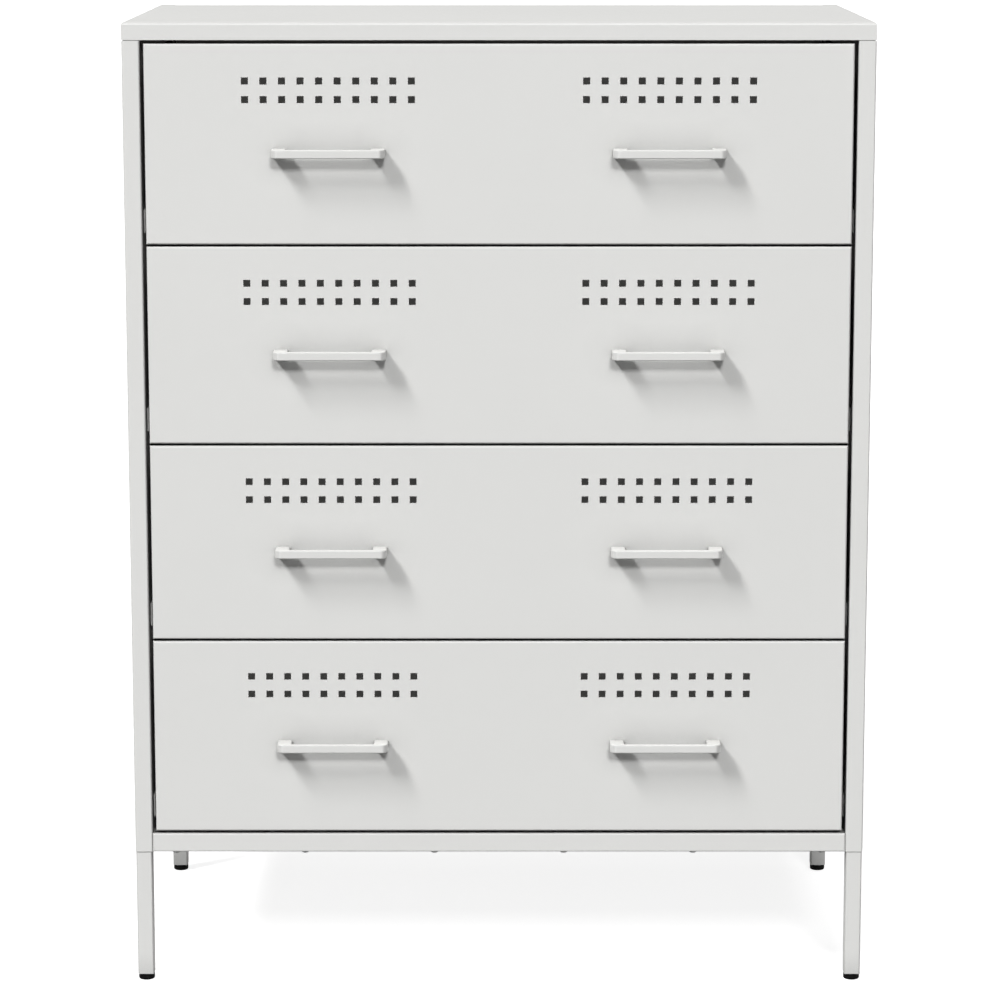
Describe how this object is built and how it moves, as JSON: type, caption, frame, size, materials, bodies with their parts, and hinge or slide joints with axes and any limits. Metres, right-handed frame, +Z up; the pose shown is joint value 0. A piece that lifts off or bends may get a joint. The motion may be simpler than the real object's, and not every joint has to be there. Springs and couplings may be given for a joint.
{
  "type": "drawer cabinet",
  "caption": "Free-standing folded-steel cabinet with full-width drawers on roller runners, perforated fronts, bar handles and square tube legs.",
  "frame": {"origin": "middle of the footprint, handles included, on the floor under the feet", "axes": "+Z up, +X to the viewer's right, +Y from the drawer fronts to the back"},
  "size_m": [0.68, 0.41, 0.895],
  "materials": {
    "body_powder_coat": "satin",
    "leg_powder_coat": "satin",
    "drawer_powder_coat": "satin",
    "handle_powder_coat": "satin",
    "runner_enamel": "satin",
    "nylon": "matte",
    "zinc_plate": "satin",
    "black_plastic": "matte"
  },
  "bodies": {
    "cabinet": {"top_panel": "body_powder_coat", "left_side_panel": "body_powder_coat", "right_side_panel": "body_powder_coat", "back_panel": "body_powder_coat", "bottom_panel": "body_powder_coat", "front_bottom_rail": "body_powder_coat", "rail_screws": "zinc_plate", "body_screws": "zinc_plate", "leg_bolts": "zinc_plate", "leg_top_plugs": "zinc_plate", "leg_bottom_plugs": "black_plastic", "front_left_leg": "leg_powder_coat", "front_right_leg": "leg_powder_coat", "rear_left_leg": "leg_powder_coat", "rear_right_leg": "leg_powder_coat", "cabinet_runners_1": "runner_enamel", "cabinet_runners_2": "runner_enamel", "cabinet_runners_3": "runner_enamel", "cabinet_runners_4": "runner_enamel"},
    "front_left_foot": {"front_left_foot": "black_plastic"},
    "front_right_foot": {"front_right_foot": "black_plastic"},
    "rear_left_foot": {"rear_left_foot": "black_plastic"},
    "rear_right_foot": {"rear_right_foot": "black_plastic"},
    "drawer_1": {"drawer_1_front": "drawer_powder_coat", "drawer_1_box": "drawer_powder_coat", "drawer_1_back": "drawer_powder_coat", "drawer_1_left_handle": "handle_powder_coat", "drawer_1_right_handle": "handle_powder_coat", "drawer_1_screws": "zinc_plate", "drawer_1_runners": "runner_enamel"},
    "drawer_2": {"drawer_2_front": "drawer_powder_coat", "drawer_2_box": "drawer_powder_coat", "drawer_2_back": "drawer_powder_coat", "drawer_2_left_handle": "handle_powder_coat", "drawer_2_right_handle": "handle_powder_coat", "drawer_2_screws": "zinc_plate", "drawer_2_runners": "runner_enamel"},
    "drawer_3": {"drawer_3_front": "drawer_powder_coat", "drawer_3_box": "drawer_powder_coat", "drawer_3_back": "drawer_powder_coat", "drawer_3_left_handle": "handle_powder_coat", "drawer_3_right_handle": "handle_powder_coat", "drawer_3_screws": "zinc_plate", "drawer_3_runners": "runner_enamel"},
    "drawer_4": {"drawer_4_front": "drawer_powder_coat", "drawer_4_box": "drawer_powder_coat", "drawer_4_back": "drawer_powder_coat", "drawer_4_left_handle": "handle_powder_coat", "drawer_4_right_handle": "handle_powder_coat", "drawer_4_screws": "zinc_plate", "drawer_4_runners": "runner_enamel"},
    "cabinet_rollers_1": {"cabinet_rollers_1": "nylon"},
    "drawer_rollers_1": {"drawer_1_rollers": "nylon"},
    "cabinet_rollers_2": {"cabinet_rollers_2": "nylon"},
    "drawer_rollers_2": {"drawer_2_rollers": "nylon"},
    "cabinet_rollers_3": {"cabinet_rollers_3": "nylon"},
    "drawer_rollers_3": {"drawer_3_rollers": "nylon"},
    "cabinet_rollers_4": {"cabinet_rollers_4": "nylon"},
    "drawer_rollers_4": {"drawer_4_rollers": "nylon"}
  },
  "joints": [
    {"name": "drawer_1_slide", "type": "slide", "parent": "cabinet", "child": "drawer_1", "axis": [0, -1, 0], "range_m": [0, 0.27]},
    {"name": "drawer_2_slide", "type": "slide", "parent": "cabinet", "child": "drawer_2", "axis": [0, -1, 0], "range_m": [0, 0.27]},
    {"name": "drawer_3_slide", "type": "slide", "parent": "cabinet", "child": "drawer_3", "axis": [0, -1, 0], "range_m": [0, 0.27]},
    {"name": "drawer_4_slide", "type": "slide", "parent": "cabinet", "child": "drawer_4", "axis": [0, -1, 0], "range_m": [0, 0.27]},
    {"name": "cabinet_rollers_1_spin", "type": "hinge", "parent": "cabinet", "child": "cabinet_rollers_1", "pos_m": [0, -0.1565, 0.7163], "axis": [1, 0, 0], "continuous": true},
    {"name": "drawer_rollers_1_spin", "type": "hinge", "parent": "drawer_1", "child": "drawer_rollers_1", "pos_m": [0, 0.1645, 0.7141], "axis": [1, 0, 0], "continuous": true},
    {"name": "cabinet_rollers_2_spin", "type": "hinge", "parent": "cabinet", "child": "cabinet_rollers_2", "pos_m": [0, -0.1565, 0.5331], "axis": [1, 0, 0], "continuous": true},
    {"name": "drawer_rollers_2_spin", "type": "hinge", "parent": "drawer_2", "child": "drawer_rollers_2", "pos_m": [0, 0.1645, 0.5309], "axis": [1, 0, 0], "continuous": true},
    {"name": "cabinet_rollers_3_spin", "type": "hinge", "parent": "cabinet", "child": "cabinet_rollers_3", "pos_m": [0, -0.1565, 0.3499], "axis": [1, 0, 0], "continuous": true},
    {"name": "drawer_rollers_3_spin", "type": "hinge", "parent": "drawer_3", "child": "drawer_rollers_3", "pos_m": [0, 0.1645, 0.3477], "axis": [1, 0, 0], "continuous": true},
    {"name": "cabinet_rollers_4_spin", "type": "hinge", "parent": "cabinet", "child": "cabinet_rollers_4", "pos_m": [0, -0.1565, 0.1667], "axis": [1, 0, 0], "continuous": true},
    {"name": "drawer_rollers_4_spin", "type": "hinge", "parent": "drawer_4", "child": "drawer_rollers_4", "pos_m": [0, 0.1645, 0.1645], "axis": [1, 0, 0], "continuous": true},
    {"name": "front_left_foot_height", "type": "slide", "parent": "cabinet", "child": "front_left_foot", "axis": [0, 0, -1], "range_m": [0, 0.008]},
    {"name": "front_right_foot_height", "type": "slide", "parent": "cabinet", "child": "front_right_foot", "axis": [0, 0, -1], "range_m": [0, 0.008]},
    {"name": "rear_left_foot_height", "type": "slide", "parent": "cabinet", "child": "rear_left_foot", "axis": [0, 0, -1], "range_m": [0, 0.008]},
    {"name": "rear_right_foot_height", "type": "slide", "parent": "cabinet", "child": "rear_right_foot", "axis": [0, 0, -1], "range_m": [0, 0.008]}
  ],
  "couplings": [
    {"joint": "cabinet_rollers_1_spin", "follows": "drawer_1_slide", "rad_per_m": 111.11},
    {"joint": "drawer_rollers_1_spin", "follows": "drawer_1_slide", "rad_per_m": 111.11},
    {"joint": "cabinet_rollers_2_spin", "follows": "drawer_2_slide", "rad_per_m": 111.11},
    {"joint": "drawer_rollers_2_spin", "follows": "drawer_2_slide", "rad_per_m": 111.11},
    {"joint": "cabinet_rollers_3_spin", "follows": "drawer_3_slide", "rad_per_m": 111.11},
    {"joint": "drawer_rollers_3_spin", "follows": "drawer_3_slide", "rad_per_m": 111.11},
    {"joint": "cabinet_rollers_4_spin", "follows": "drawer_4_slide", "rad_per_m": 111.11},
    {"joint": "drawer_rollers_4_spin", "follows": "drawer_4_slide", "rad_per_m": 111.11}
  ]
}
